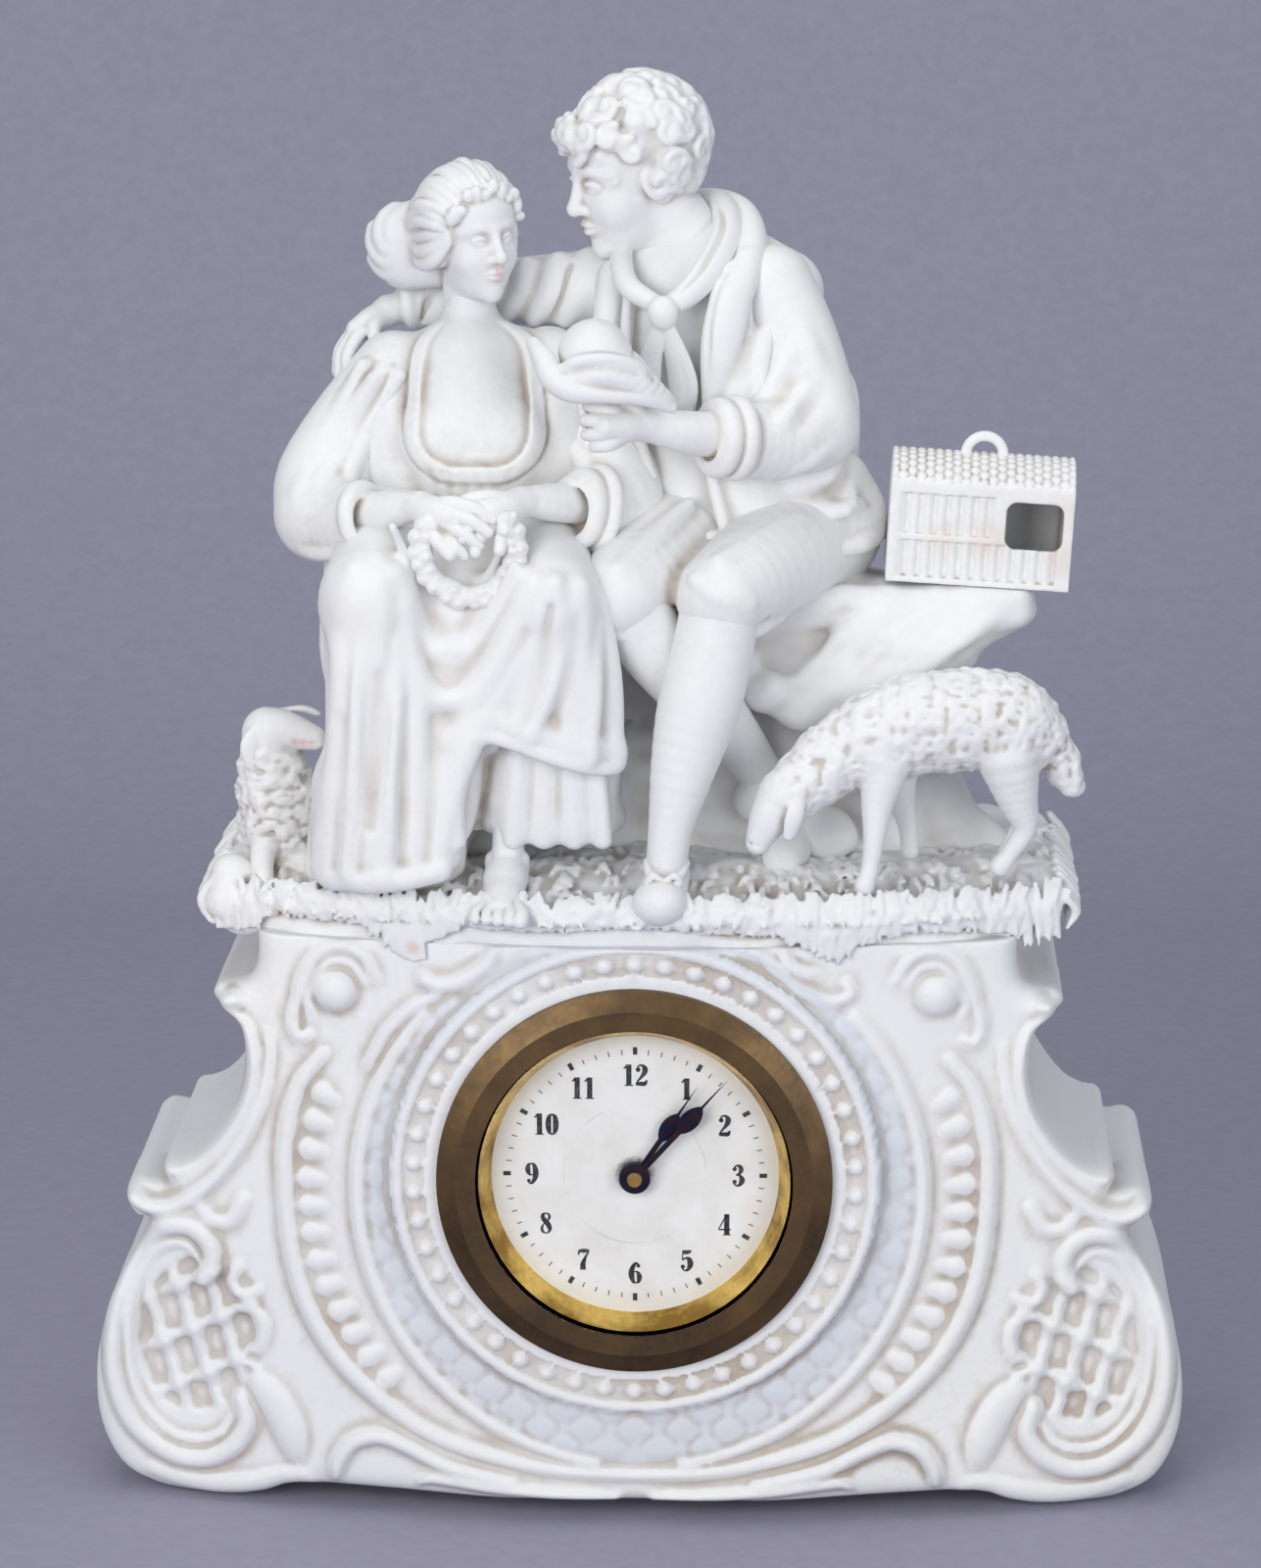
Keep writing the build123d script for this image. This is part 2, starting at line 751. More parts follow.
def make_sitting_lamb(*carriers):
    lamb = limb(lamb_body_shares, lamb_body_radius)
    for part in (lamb_head_shares, lamb_leg_shares, lamb_ear_shares):
        lamb = lamb + limb(part, lamb_body_radius)
    return seated(lamb, *carriers)


# Bird cage

cage_share = (0.412, 0.02, 0.378)


def cage_block(width, depth, height, rise):
    # A box under a roof that is arched from front to back.
    half = depth / 2
    arch = ThreePointArc((half, height), (0, height + rise), (-half, height))
    sides = Polyline((-half, height), (-half, 0), (half, 0), (half, height))
    return extrude(Plane.YZ * make_face([sides, arch]), amount=width / 2, both=True)


def cage_window():
    corner = cage_window_corner
    hole = RectangleRounded(cage_window_width, cage_window_height, corner)
    x = cage_width / 2 - cage_window_width / 2 - cage_wall * 2
    z = cage_wall_height - cage_window_height / 2 - cage_wall
    front = Plane(origin=(x, -cage_depth / 2 - overrun, z), x_dir=(1, 0, 0), z_dir=(0, -1, 0))
    return extrude(front * hole, amount=-cage_wall - overrun * 2)


def cage_bars():
    bars = []
    pitch = (cage_width - cage_wall * 2) / cage_bar_count
    rail = cage_wall_height * 0.45
    window_left = cage_width / 2 - cage_window_width - cage_wall * 3
    for i in range(cage_bar_count):
        x = -cage_width / 2 + cage_wall + pitch * (i + 0.5)
        low = rail - cage_wall * 2
        bars.append(Pos(x, -cage_depth / 2, cage_wall + low / 2) * Cylinder(cage_bar_radius, low))
        if x < window_left:
            high = cage_wall_height - rail - cage_wall
            bars.append(Pos(x, -cage_depth / 2, rail + high / 2) * Cylinder(cage_bar_radius, high))
    return bars


def cage_seat():
    return Pos(*place(cage_share)) * Rot(0, cage_lean, 0)


def make_bird_cage(*carriers):
    outer = cage_block(cage_width, cage_depth, cage_wall_height, cage_roof_rise)
    inner_height = cage_wall_height - cage_wall
    inner_width = cage_width - cage_wall * 2
    inner_depth = cage_depth - cage_wall * 2
    inner = cage_block(inner_width, inner_depth, inner_height - cage_wall, cage_roof_rise)
    shell = outer - Pos(0, 0, cage_wall) * inner - cage_window()
    return seated(cage_seat() * (shell + cage_bars()), *carriers)


def make_cage_ring():
    # A small carrying loop that stands on the ridge of the roof.
    ridge = cage_wall_height + cage_roof_rise
    loop = Rot(90, 0, 0) * Torus(cage_ring_radius, cage_ring_wire_radius)
    loop = Pos(0, 0, ridge + cage_ring_radius / 3) * loop
    above = Pos(0, 0, ridge + cage_ring_radius * 2) * Box(cage_width, cage_depth, cage_ring_radius * 4)
    return largest(cage_seat() * (loop & above))


# Bezel, glass, sight ring, dial

def make_bezel():
    inner = bezel_opening_radius
    rebate = glass_radius + seat_play
    flange_seat = flange_radius + seat_play
    return turned([
        (inner, bezel_front), ((inner + bezel_radius) / 2, bezel_front),
        (bezel_radius, rim_front - bezel_edge_thickness), (bezel_radius, rim_front), (flange_seat, rim_front),
        (flange_seat, can_front - seat_play), (rebate, can_front - seat_play), (rebate, glass_front),
        (inner, glass_front),
    ])


def make_glass():
    return disc(glass_radius, glass_front, sight_front)


def make_sight_ring():
    outer = bezel_opening_radius - seat_play
    lip = sight_front + sight_wall
    return turned([
        (outer - sight_wall, sight_front), (glass_radius, sight_front), (glass_radius, lip), (outer, lip),
        (sight_inner_radius + sight_wall, dial_front), (sight_inner_radius, dial_front),
    ])


def make_dial():
    dial = disc(can_inner_radius - seat_play, dial_front, dial_back)
    for angle in (90, 270):
        x, z = polar(dial_foot_circle, angle)
        dial = dial + disc(dial_foot_radius, dial_back, front_plate_front, x, z)
    return dial - disc(dial_hole_radius, dial_front - overrun, dial_back + overrun)


# Hands

def hand_blank(reach, bulb_place, bulb_width, angle, front):
    # A pear-shaped blade with a fine point, on a round boss.
    turn = Rot(0, 0, 90 - angle)
    stem = Pos(bulb_place / 2, 0) * Rectangle(bulb_place, hand_stem_width)
    bulb_start = bulb_place - bulb_width
    bulb_end = bulb_place + bulb_width
    half = bulb_width / 2
    tip = hand_stem_width / 4
    pear = make_face([
        ThreePointArc((bulb_start, 0), (bulb_place, half), (bulb_end, tip)), Line((bulb_end, tip), (reach, 0)),
        Line((reach, 0), (bulb_end, -tip)), ThreePointArc((bulb_end, -tip), (bulb_place, -half), (bulb_start, 0)),
    ])
    flat = stem + pear + Circle(hand_boss_radius)
    return extrude(dial_frame(front) * turn * flat, amount=-hand_thickness)


def make_hour_hand():
    hand = hand_blank(hour_hand_reach, hour_bulb_place, hour_bulb_width, hour_hand_angle, hour_hand_front)
    return hand - disc(hour_pipe_radius, hour_hand_front - overrun, hour_hand_front + hand_thickness + overrun)


def make_minute_hand():
    hand = hand_blank(minute_hand_reach, minute_bulb_place, minute_bulb_width, minute_hand_angle, minute_hand_front)
    hand_back = minute_hand_front + hand_thickness
    return hand - disc(cannon_pipe_radius, minute_hand_front - overrun, hand_back + overrun)


def make_hand_collet():
    return disc(collet_radius, minute_hand_front - collet_height, minute_hand_front)


hour_hand_front = dial_front - dial_to_hand_gap - hand_thickness
minute_hand_front = hour_hand_front - hand_gap - hand_thickness
cannon_pipe_radius = arbor_radius * 1.8
hour_pipe_bore = cannon_pipe_radius + running_play
hour_pipe_radius = hour_pipe_bore * 1.5


# Toothed wheels

def involute(angle):
    return tan(angle) - angle


def gear_outline(teeth, module, phase, steps):
    pitch_radius = teeth * module / 2
    base = pitch_radius * cos(radians(pressure_angle))
    root = pitch_radius - dedendum_share * module
    tip = pitch_radius + addendum_share * module
    half_pitch_tooth = (pi * module / 2 - tooth_play) / 2 / pitch_radius
    start = max(root, base)
    radii = [start + (tip - start) * i / (steps - 1) for i in range(steps)]
    flank = []
    for r in radii:
        spread = half_pitch_tooth + involute(radians(pressure_angle)) - involute(acos(min(base / r, 1.0)))
        flank.append((r, spread))
    if root < start:
        flank.insert(0, (root, flank[0][1]))
    points = []
    for i in range(teeth):
        middle = radians(phase) + 2 * pi * i / teeth
        for r, spread in flank:
            points.append((r * cos(middle - spread), r * sin(middle - spread)))
        for r, spread in reversed(flank):
            points.append((r * cos(middle + spread), r * sin(middle + spread)))
    return make_face(Polyline(*points, close=True))


def toothed(teeth, module, phase, centre, front, width):
    steps = 4 if teeth < 20 else 2
    flat = gear_outline(teeth, module, phase, steps)
    return extrude(dial_frame(front) * Pos(*centre) * flat, amount=-width)


def meshed_phase(phase, teeth, direction, other_teeth):
    # The phase that puts a gap of the other wheel on the tooth that meets it.
    offset = (phase - direction) / (360 / teeth)
    return direction + 180 + 360 / other_teeth * (0.5 - offset)


def crossed(wheel, centre, tip_radius, front, width):
    # Cuts the web of a wheel away between its spokes.
    inner = hub_radius
    outer = tip_radius - rim_width - centre_module * 2
    web = ring(outer, inner, front - overrun, front + width + overrun, *centre)
    for i in range(spoke_count):
        spoke = Rot(0, 0, 180 * i / spoke_count + 20) * Rectangle(outer * 2 + overrun, spoke_width)
        flat = dial_frame(front - overrun) * Pos(*centre) * spoke
        web = web - extrude(flat, amount=-width - overrun * 2)
    return wheel - web


def neighbour(centre, distance, direction):
    x, z = polar(distance, direction)
    return centre[0] + x, centre[1] + z


def centre_distance(teeth, other_teeth, module):
    return (teeth + other_teeth) * module / 2


hub = (0.0, 0.0)
barrel_centre = neighbour(hub, centre_distance(barrel_teeth, centre_pinion_teeth, barrel_module), barrel_direction)
third_centre = neighbour(hub, centre_distance(centre_wheel_teeth, third_pinion_teeth, centre_module), third_direction)
fourth_span = centre_distance(third_wheel_teeth, fourth_pinion_teeth, third_module)
fourth_centre = neighbour(third_centre, fourth_span, fourth_direction)
escape_span = centre_distance(fourth_wheel_teeth, escape_pinion_teeth, fourth_module)
escape_centre = neighbour(fourth_centre, escape_span, escape_direction)
pallet_centre = neighbour(escape_centre, pallet_distance, pallet_direction)
balance_centre = neighbour(pallet_centre, balance_distance, balance_direction)
motion_span = centre_distance(cannon_teeth, minute_wheel_teeth, cannon_module)
minute_wheel_centre = neighbour(hub, motion_span, minute_wheel_direction)
hour_module = 2 * motion_span / (minute_pinion_teeth + hour_wheel_teeth)

# Depths of the wheels between the plates
pinion_gap = running_play * 6
barrel_gear_front = front_plate_back + pinion_gap * 2
barrel_drum_back = barrel_gear_front + barrel_depth
centre_pinion_front = barrel_gear_front - pinion_gap
centre_wheel_front = barrel_drum_back + pinion_width
third_pinion_front = centre_wheel_front - (pinion_width - wheel_thickness) / 2
third_wheel_front = barrel_gear_front + pinion_width + pinion_gap
fourth_pinion_front = third_wheel_front - (pinion_width - wheel_thickness) / 2
fourth_wheel_front = third_wheel_front + pinion_width * 2
escape_pinion_front = fourth_wheel_front - (pinion_width - fine_wheel_thickness) / 2
escape_wheel_front = fourth_wheel_front + pinion_width + wheel_thickness
cannon_pinion_front = front_plate_front - pinion_width - pinion_gap
minute_wheel_front = cannon_pinion_front + wheel_thickness / 2
hour_wheel_front = minute_wheel_front - pinion_width
minute_pinion_front = hour_wheel_front - wheel_thickness / 2

# Phases that leave every pair in mesh at rest, in degrees
centre_pinion_phase = 0.0
barrel_phase = meshed_phase(centre_pinion_phase, centre_pinion_teeth, barrel_direction, barrel_teeth)
centre_wheel_phase = 0.0
third_pinion_phase = meshed_phase(centre_wheel_phase, centre_wheel_teeth, third_direction, third_pinion_teeth)
third_wheel_phase = 0.0
fourth_pinion_phase = meshed_phase(third_wheel_phase, third_wheel_teeth, fourth_direction, fourth_pinion_teeth)
fourth_wheel_phase = 0.0
escape_pinion_phase = meshed_phase(fourth_wheel_phase, fourth_wheel_teeth, escape_direction, escape_pinion_teeth)
cannon_phase = 0.0
minute_wheel_phase = meshed_phase(cannon_phase, cannon_teeth, minute_wheel_direction, minute_wheel_teeth)
minute_pinion_phase = 0.0
toward_hub = minute_wheel_direction + 180
hour_wheel_phase = meshed_phase(minute_pinion_phase, minute_pinion_teeth, toward_hub, hour_wheel_teeth)


# Plates, pillars and can

def pivot_holes():
    spots = (third_centre, fourth_centre, escape_centre, pallet_centre, balance_centre)
    front, back = front_plate_front - overrun, back_plate_back + overrun
    holes = [disc(pivot_radius + running_play, front, back, *spot) for spot in spots]
    holes.append(disc(barrel_arbor_radius + running_play, front, back, *barrel_centre))
    holes.append(disc(arbor_radius + running_play, front, back))
    return holes


def pillar_spots():
    return [polar(pillar_circle, angle) for angle in pillar_angles]


def make_front_plate():
    plate = disc(can_inner_radius - seat_play, front_plate_front, front_plate_back)
    for hole in pivot_holes():
        plate = plate - hole
    stud = disc(arbor_radius, minute_pinion_front - pinion_gap, front_plate_front + overrun, *minute_wheel_centre)
    return plate + stud


def make_back_plate():
    plate = disc(plate_radius, back_plate_front, back_plate_back)
    for hole in pivot_holes():
        plate = plate - hole
    for spot in pillar_spots():
        plate = plate - disc(pillar_screw_radius, back_plate_front - overrun, back_plate_back + overrun, *spot)
    pin = disc(arbor_radius, back_plate_back - overrun, ratchet_front + ratchet_thickness, *click_centre)
    return plate + pin


def make_plate_pillars():
    pillars = []
    for spot in pillar_spots():
        post = disc(pillar_radius, front_plate_back, back_plate_front, *spot)
        thread = disc(pillar_screw_radius, back_plate_front - overrun, back_plate_back + nut_height, *spot)
        pillars.append(post + thread)
    return Compound([largest(p) for p in pillars])


def make_plate_nuts():
    nut_back = back_plate_back + nut_height
    nuts = []
    for spot in pillar_spots():
        flat = dial_frame(back_plate_back) * Pos(*spot) * RegularPolygon(nut_radius, 6)
        nut = extrude(flat, amount=-nut_height)
        nuts.append(nut - disc(pillar_screw_radius, back_plate_back - overrun, nut_back + overrun, *spot))
    return Compound([largest(n) for n in nuts])


def make_movement_can():
    return turned([
        (can_inner_radius, can_front), (flange_radius, can_front), (flange_radius, rim_front),
        (can_outer_radius, rim_front), (can_outer_radius, can_back), (can_inner_radius, can_back),
    ])


def make_back_cap():
    cap_back = can_back + can_wall
    rim = can_inner_radius - seat_play
    key_hole = key_hub_radius + seat_play * 5
    cap = turned([(0, can_back), (can_outer_radius, can_back), (can_outer_radius, cap_back), (0, cap_back)])
    cap = cap + ring(rim, rim - can_wall, can_back - cap_rim_depth, can_back)
    cap = cap - disc(key_hole, can_back - overrun, cap_back + overrun, *barrel_centre)
    return cap - disc(hub_radius, can_back - overrun, cap_back + overrun)


cap_rim_depth = 3.0


# Motion work and hands' arbors

def make_centre_arbor():
    arbor = disc(arbor_radius, minute_hand_front, knob_front)
    pinion = toothed(
        centre_pinion_teeth, barrel_module, centre_pinion_phase, hub, centre_pinion_front, pinion_width
    )
    return arbor + pinion


def make_cannon_pinion():
    pinion = toothed(cannon_teeth, cannon_module, cannon_phase, hub, cannon_pinion_front, pinion_width)
    pipe = disc(cannon_pipe_radius, minute_hand_front, cannon_pinion_front + overrun)
    bore = disc(arbor_radius, minute_hand_front - overrun, cannon_pinion_front + pinion_width + overrun)
    return pinion + pipe - bore


def make_minute_wheel():
    wheel = toothed(
        minute_wheel_teeth, cannon_module, minute_wheel_phase, minute_wheel_centre, minute_wheel_front, wheel_thickness
    )
    pinion = toothed(
        minute_pinion_teeth, hour_module, minute_pinion_phase, minute_wheel_centre, minute_pinion_front,
        minute_wheel_front - minute_pinion_front + running_play,
    )
    bore = disc(
        arbor_radius + running_play, minute_pinion_front - overrun, front_plate_front, *minute_wheel_centre
    )
    return wheel + pinion - bore


def make_hour_wheel():
    wheel = toothed(hour_wheel_teeth, hour_module, hour_wheel_phase, hub, hour_wheel_front, wheel_thickness)
    pipe = disc(hour_pipe_radius, hour_hand_front, hour_wheel_front + overrun)
    wheel_back = hour_wheel_front + wheel_thickness
    return wheel + pipe - disc(hour_pipe_bore, hour_hand_front - overrun, wheel_back + overrun)


def make_centre_wheel():
    wheel = toothed(centre_wheel_teeth, centre_module, centre_wheel_phase, hub, centre_wheel_front, wheel_thickness)
    tip = centre_wheel_teeth * centre_module / 2
    wheel = crossed(wheel, hub, tip, centre_wheel_front, wheel_thickness)
    wheel_back = centre_wheel_front + wheel_thickness
    return wheel - disc(arbor_radius, centre_wheel_front - overrun, wheel_back + overrun)


def make_set_knob():
    knob = disc(knob_radius, knob_front, knob_front + knob_length)
    for i in range(knob_flutes):
        x, z = polar(knob_radius, 360 * i / knob_flutes)
        flute = pi * knob_radius / knob_flutes / 2
        knob = knob - disc(flute, knob_front - overrun, knob_front + knob_length + overrun, x, z)
    return knob


knob_front = can_back + knob_reach - knob_length


# Going train

def train_arbor(centre, pinion_teeth, pinion_module, pinion_phase, pinion_front):
    pinion = toothed(pinion_teeth, pinion_module, pinion_phase, centre, pinion_front, pinion_width)
    arbor = disc(arbor_radius, front_plate_back + running_play, back_plate_front - running_play, *centre)
    pivots = disc(pivot_radius, front_plate_front, back_plate_back, *centre)
    return pinion + arbor + pivots


def make_third_wheel():
    arbor = train_arbor(third_centre, third_pinion_teeth, centre_module, third_pinion_phase, third_pinion_front)
    wheel = toothed(
        third_wheel_teeth, third_module, third_wheel_phase, third_centre, third_wheel_front, wheel_thickness
    )
    tip = third_wheel_teeth * third_module / 2
    return arbor + crossed(wheel, third_centre, tip, third_wheel_front, wheel_thickness)


def make_fourth_wheel():
    arbor = train_arbor(fourth_centre, fourth_pinion_teeth, third_module, fourth_pinion_phase, fourth_pinion_front)
    wheel = toothed(
        fourth_wheel_teeth, fourth_module, fourth_wheel_phase, fourth_centre, fourth_wheel_front, fine_wheel_thickness
    )
    tip = fourth_wheel_teeth * fourth_module / 2
    return arbor + crossed(wheel, fourth_centre, tip, fourth_wheel_front, fine_wheel_thickness)


def make_escape_wheel():
    arbor = train_arbor(escape_centre, escape_pinion_teeth, fourth_module, escape_pinion_phase, escape_pinion_front)
    points = []
    root = escape_radius * 0.8
    for i in range(escape_wheel_teeth):
        start = 360 * i / escape_wheel_teeth
        pitch = 360 / escape_wheel_teeth
        points += [polar(root, start), polar(escape_radius, start + pitch * 0.45)]
        points += [polar(escape_radius, start + pitch * 0.55), polar(root, start + pitch * 0.6)]
    flat = dial_frame(escape_wheel_front) * Pos(*escape_centre) * make_face(Polyline(*points, close=True))
    wheel = extrude(flat, amount=-fine_wheel_thickness)
    return arbor + wheel


def make_pallet_lever():
    back = escape_wheel_front + pallet_thickness
    arbor = disc(arbor_radius, front_plate_back + running_play, back_plate_front - running_play, *pallet_centre)
    lever = arbor + disc(pivot_radius, front_plate_front, back_plate_back, *pallet_centre)
    reach = pallet_distance - escape_radius - pallet_arm_width
    toward = degrees(atan2(escape_centre[1] - pallet_centre[1], escape_centre[0] - pallet_centre[0]))
    for turn in (toward + 50, toward - 50, toward + 180 + balance_direction - pallet_direction):
        arm = Rot(0, 0, turn) * Pos(reach / 2, 0) * Rectangle(reach, pallet_arm_width)
        flat = dial_frame(escape_wheel_front) * Pos(*pallet_centre) * arm
        lever = lever + extrude(flat, amount=escape_wheel_front - back)
    return lever


def make_balance_wheel():
    front = balance_front
    arbor = disc(arbor_radius, front_plate_back + running_play, back_plate_front - running_play, *balance_centre)
    wheel = arbor + disc(pivot_radius, front_plate_front, back_plate_back, *balance_centre)
    rim = ring(balance_radius, balance_radius - balance_rim_width, front, front + balance_thickness, *balance_centre)
    flat = dial_frame(front) * Pos(*balance_centre) * Rectangle(balance_radius * 2 - balance_rim_width, spoke_width)
    return wheel + rim + extrude(flat, amount=-balance_thickness)


balance_front = front_plate_back + pinion_width * 2
hairspring_front = balance_front + balance_thickness + hairspring_width


def spiral_band(inner, outer, turns, thickness, front, width, centre):
    # A flat coil whose radius grows evenly from the inside to the outside.
    steps = int(turns * spiral_steps_per_turn)
    near, far = [], []
    for i in range(steps + 1):
        angle = 360 * turns * i / steps
        radius = inner + (outer - inner) * i / steps
        near.append(polar(radius, angle))
        far.append(polar(radius + thickness, angle))
    flat = dial_frame(front) * Pos(*centre) * make_face(Polyline(*near, *reversed(far), close=True))
    return extrude(flat, amount=-width)


spiral_steps_per_turn = 20


def make_hairspring():
    coil = spiral_band(
        hairspring_inner_radius, hairspring_outer_radius, hairspring_turns, hairspring_thickness,
        hairspring_front, hairspring_width, balance_centre,
    )
    collet = ring(
        hairspring_inner_radius + hairspring_thickness, arbor_radius, hairspring_front,
        hairspring_front + hairspring_width, *balance_centre,
    )
    return coil + collet


# Barrel and winding

def make_mainspring_barrel():
    gear = toothed(
        barrel_teeth, barrel_module, barrel_phase, barrel_centre, barrel_gear_front, wheel_thickness
    )
    drum = disc(barrel_drum_radius, barrel_gear_front, barrel_drum_back, *barrel_centre)
    room = disc(
        barrel_drum_radius - barrel_wall, barrel_gear_front + wheel_thickness, barrel_drum_back - barrel_wall,
        *barrel_centre,
    )
    bore = disc(
        barrel_arbor_radius + running_play, barrel_gear_front - overrun, barrel_drum_back + overrun, *barrel_centre
    )
    return gear + drum - room - bore


def make_mainspring():
    inner = barrel_arbor_radius + barrel_wall
    outer = barrel_drum_radius - barrel_wall - mainspring_thickness - running_play
    front = barrel_gear_front + wheel_thickness + pinion_gap
    width = barrel_drum_back - barrel_wall - pinion_gap - front
    return spiral_band(inner, outer, mainspring_turns, mainspring_thickness, front, width, barrel_centre)


def make_barrel_arbor():
    arbor = disc(barrel_arbor_radius, front_plate_front, ratchet_front, *barrel_centre)
    flat = dial_frame(ratchet_front) * Pos(*barrel_centre) * Rectangle(winding_square, winding_square)
    square = extrude(flat, amount=ratchet_front - key_back)
    return arbor + square


winding_square = barrel_arbor_radius * 1.3
ratchet_front = back_plate_back + running_play * 2
key_back = can_back + key_reach
click_centre = neighbour(barrel_centre, ratchet_radius + click_length * 0.8, 130.0)


def square_hole(front, back):
    side = winding_square
    flat = dial_frame(front) * Pos(*barrel_centre) * Rectangle(side, side)
    return extrude(flat, amount=front - back)


def make_ratchet_wheel():
    points = []
    for i in range(ratchet_teeth):
        start = 360 * i / ratchet_teeth
        points += [polar(ratchet_radius, start), polar(ratchet_radius - ratchet_tooth_height, start + 2)]
    flat = dial_frame(ratchet_front) * Pos(*barrel_centre) * make_face(Polyline(*points, close=True))
    wheel = extrude(flat, amount=-ratchet_thickness)
    return wheel - square_hole(ratchet_front - overrun, ratchet_front + ratchet_thickness + overrun)


def make_click():
    # A sprung pawl whose nose drops behind a tooth of the ratchet wheel.
    toward = degrees(atan2(barrel_centre[1] - click_centre[1], barrel_centre[0] - click_centre[0]))
    distance = ratchet_radius + click_length * 0.8
    nose_reach = distance - ratchet_radius - pinion_gap
    arm = Rot(0, 0, toward) * Pos(nose_reach / 2, 0) * Rectangle(nose_reach, click_width)
    flat = arm + Circle(click_width * 0.8)
    body = extrude(dial_frame(ratchet_front) * Pos(*click_centre) * flat, amount=-ratchet_thickness)
    hole = disc(
        arbor_radius + running_play, ratchet_front - overrun, ratchet_front + ratchet_thickness + overrun, *click_centre
    )
    return body - hole


def make_winding_key():
    front = can_back + can_wall + seat_play * 5
    hub_part = disc(key_hub_radius, front, key_back, *barrel_centre)
    wing = Pos(barrel_centre[0], key_back - key_wing_height / 2, dial_axis_height + barrel_centre[1])
    plate = Box(key_wing_length * 2, key_wing_height, key_wing_thickness)
    plate = fillet(plate.edges().filter_by(Axis.Z), key_wing_height / 3)
    key = hub_part + wing * plate
    return key - square_hole(front - overrun, key_back + overrun)


# Straps, back ring and screws

def make_bezel_straps():
    straps = []
    inner = can_outer_radius + seat_play
    band = ring(inner + strap_thickness, inner, rim_front, strap_back)
    for side in (-1, 1):
        x = side * (can_outer_radius + strap_thickness)
        slot = Pos(x, (rim_front + strap_back) / 2, dial_axis_height)
        strip = band & (slot * Box(strap_width * 2, strap_back - rim_front, strap_width))
        foot_x = side * (can_outer_radius + seat_play + strap_thickness / 2 - strap_foot_length / 2)
        foot = Pos(foot_x, strap_back - strap_foot_thickness / 2, dial_axis_height)
        foot = foot * Box(strap_foot_length, strap_foot_thickness, strap_width)
        hole_front = strap_back - strap_foot_thickness * 2
        hole = disc(fixing_screw_radius, hole_front, strap_back + overrun, side * screw_circle)
        straps.append(largest(strip + foot - hole))
    return Compound(straps)


strap_back = case_back - case_wall
screw_circle = can_outer_radius - strap_foot_length / 2


def make_back_ring():
    plate = ring(back_ring_radius, back_ring_hole_radius, case_back, case_back + back_ring_thickness)
    for side in (-1, 1):
        hole = disc(
            fixing_screw_radius + seat_play, case_back - overrun, case_back + back_ring_thickness + overrun,
            side * screw_circle,
        )
        plate = plate - hole
    return plate


def make_strap_screws():
    screws = []
    for side in (-1, 1):
        x = side * screw_circle
        shank_front = strap_back - strap_foot_thickness * 2
        head_front = case_back + back_ring_thickness
        shank = disc(fixing_screw_radius, shank_front, head_front, x)
        head = disc(fixing_head_radius, head_front, half_depth, x)
        slot = Pos(x, half_depth, dial_axis_height)
        slot = slot * Box(fixing_head_radius * 2 + overrun, screw_head_height, fixing_screw_radius / 2)
        screws.append(largest(shank + head - slot))
    return Compound(screws)


# The whole clock

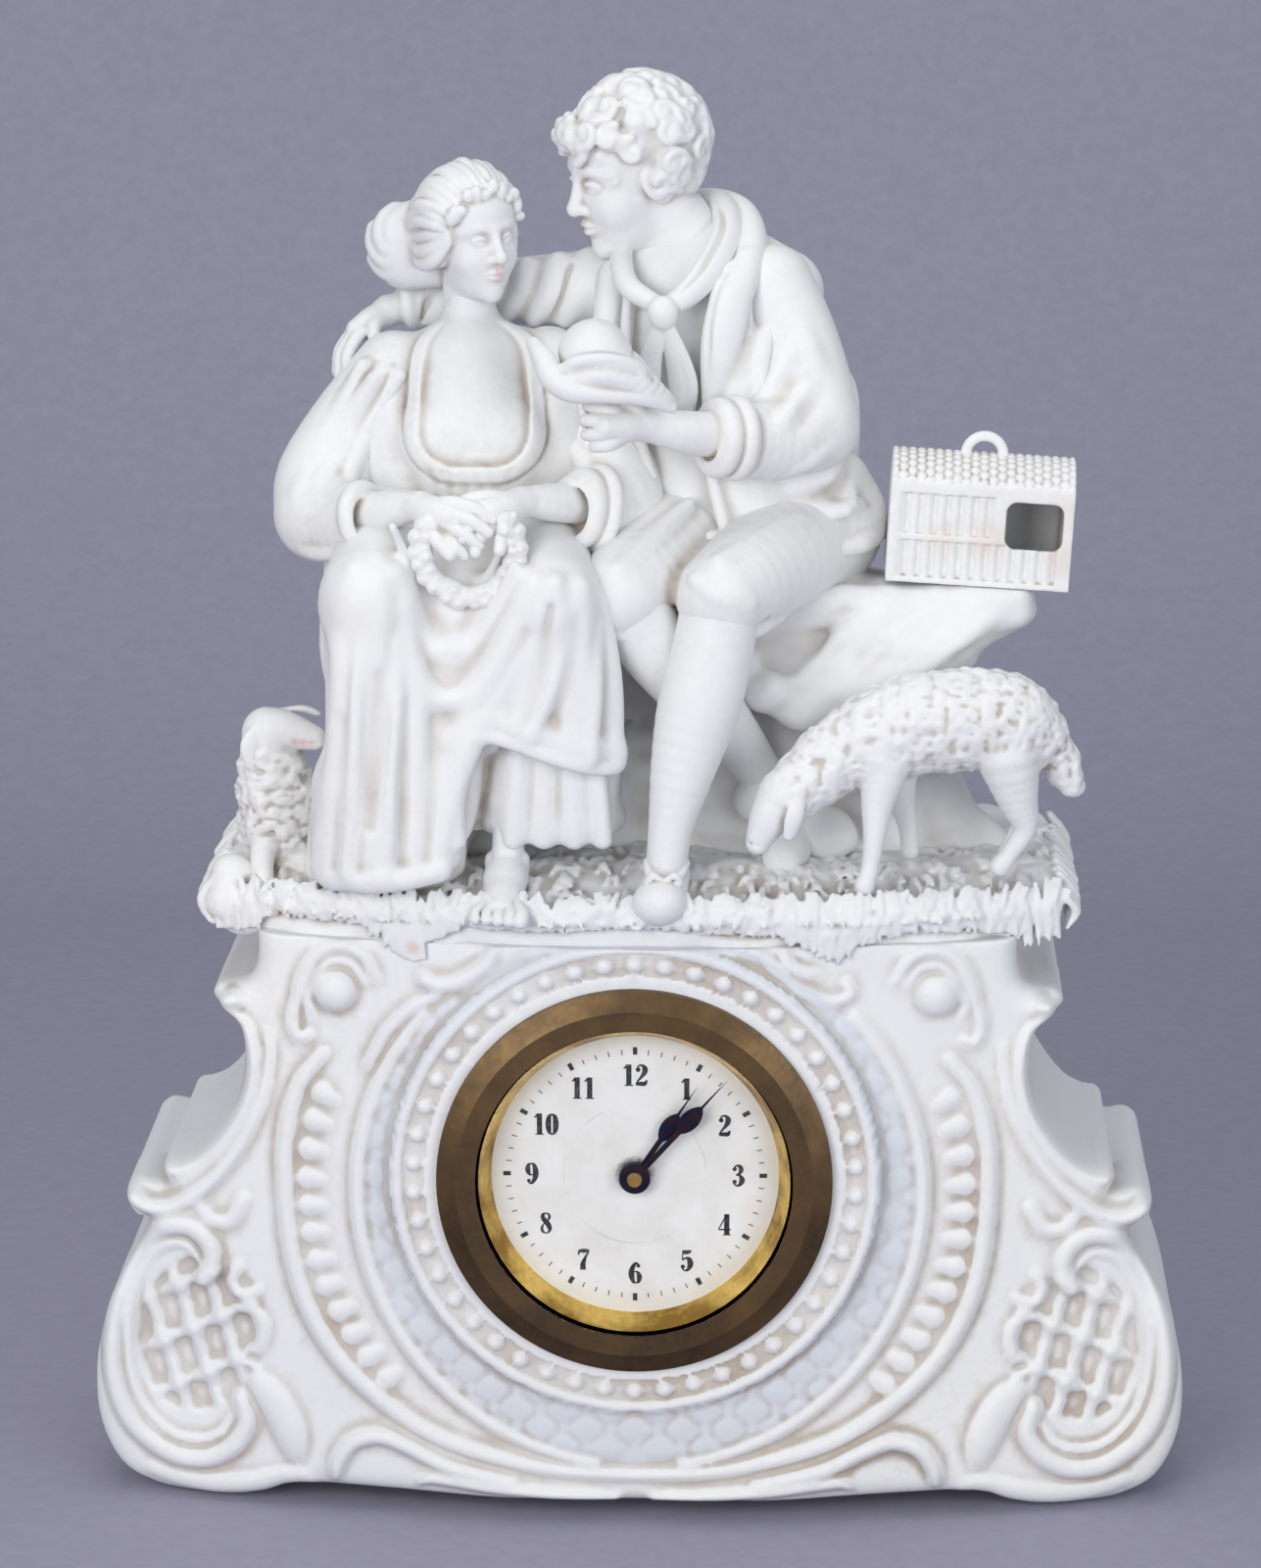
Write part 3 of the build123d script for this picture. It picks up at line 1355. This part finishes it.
def make_porcelain():
    whole_case = make_whole_case()
    case_body = make_case_body(whole_case)
    back_wall = make_case_back_wall(whole_case)
    ledge = make_grass_ledge(case_body + back_wall)
    rock = make_rock_seat(ledge)
    skirt = make_woman_skirt(ledge, rock)
    bodice = make_woman_bodice(rock)
    breeches = make_man_breeches(ledge, rock, skirt)
    jacket = make_man_jacket(rock, skirt, bodice, breeches)
    woman_right_arm = make_woman_right_arm(rock, skirt, bodice)
    woman_left_arm = make_woman_left_arm(rock, skirt, bodice, jacket, breeches, woman_right_arm)
    woman_head = make_woman_head(bodice, woman_right_arm, woman_left_arm)
    left_leg = make_man_left_leg(ledge, rock, skirt, breeches)
    right_leg = make_man_right_leg(ledge, rock, skirt, breeches, left_leg)
    man_head = make_man_head(jacket, bodice, woman_head)
    scarf = make_neckerchief(jacket, man_head, bodice)
    left_arm = make_man_left_arm(jacket, breeches, skirt, bodice, scarf, woman_left_arm)
    right_arm = make_man_right_arm(
        jacket, rock, skirt, bodice, woman_head, woman_right_arm, woman_left_arm, man_head, scarf
    )
    wreath = make_flower_wreath(skirt, woman_right_arm, woman_left_arm, breeches)
    foot = make_woman_foot(ledge, skirt, left_leg)
    hat = make_hat(left_arm, scarf, bodice, woman_left_arm, woman_head, man_head, jacket)
    cage = make_bird_cage(rock, jacket, left_arm)
    sheep = make_grazing_sheep(ledge, rock, left_leg, right_leg, breeches)
    return {
        "case_body": case_body,
        "case_back_wall": back_wall,
        "case_scrolls": make_case_scrolls(case_body, ledge),
        "grass_ledge": ledge,
        "rock_seat": rock,
        "woman_skirt": skirt,
        "woman_bodice": bodice,
        "woman_head": woman_head,
        "woman_right_arm": woman_right_arm,
        "woman_left_arm": woman_left_arm,
        "woman_foot": foot,
        "flower_wreath": wreath,
        "man_jacket": jacket,
        "man_breeches": breeches,
        "man_head": man_head,
        "man_left_arm": left_arm,
        "man_right_arm": right_arm,
        "man_left_leg": left_leg,
        "man_right_leg": right_leg,
        "neckerchief": scarf,
        "hat": hat,
        "bird_cage": cage,
        "cage_ring": make_cage_ring(),
        "grazing_sheep": sheep,
        "sitting_lamb": make_sitting_lamb(ledge, skirt, rock),
    }


def make_woman_right_arm(*carriers):
    return seated(limb(woman_right_arm_shares, woman_limb), *carriers)


def make_woman_left_arm(*carriers):
    return seated(limb(woman_left_arm_shares, woman_limb), *carriers)


def make_man_left_arm(*carriers):
    return seated(limb(man_left_arm_shares, man_limb), *carriers)


def make_man_right_arm(*carriers):
    return seated(limb(man_right_arm_shares, man_limb), *carriers)


def make_clock():
    return {
        "bezel": make_bezel(),
        "glass": make_glass(),
        "sight_ring": make_sight_ring(),
        "dial": make_dial(),
        "hour_hand": make_hour_hand(),
        "minute_hand": make_minute_hand(),
        "hand_collet": make_hand_collet(),
        "movement_can": make_movement_can(),
        "back_cap": make_back_cap(),
        "front_plate": make_front_plate(),
        "back_plate": make_back_plate(),
        "plate_pillars": make_plate_pillars(),
        "plate_nuts": make_plate_nuts(),
        "centre_arbor": make_centre_arbor(),
        "cannon_pinion": make_cannon_pinion(),
        "minute_wheel": make_minute_wheel(),
        "hour_wheel": make_hour_wheel(),
        "centre_wheel": make_centre_wheel(),
        "set_knob": make_set_knob(),
        "third_wheel": make_third_wheel(),
        "fourth_wheel": make_fourth_wheel(),
        "escape_wheel": make_escape_wheel(),
        "pallet_lever": make_pallet_lever(),
        "balance_wheel": make_balance_wheel(),
        "hairspring": make_hairspring(),
        "mainspring_barrel": make_mainspring_barrel(),
        "mainspring": make_mainspring(),
        "barrel_arbor": make_barrel_arbor(),
        "ratchet_wheel": make_ratchet_wheel(),
        "click": make_click(),
        "winding_key": make_winding_key(),
        "bezel_straps": make_bezel_straps(),
        "back_ring": make_back_ring(),
        "strap_screws": make_strap_screws(),
    }


os.makedirs("parts", exist_ok=True)
for name, solid in {**make_porcelain(), **make_clock()}.items():
    export_step(solid, f"parts/{name}.step")
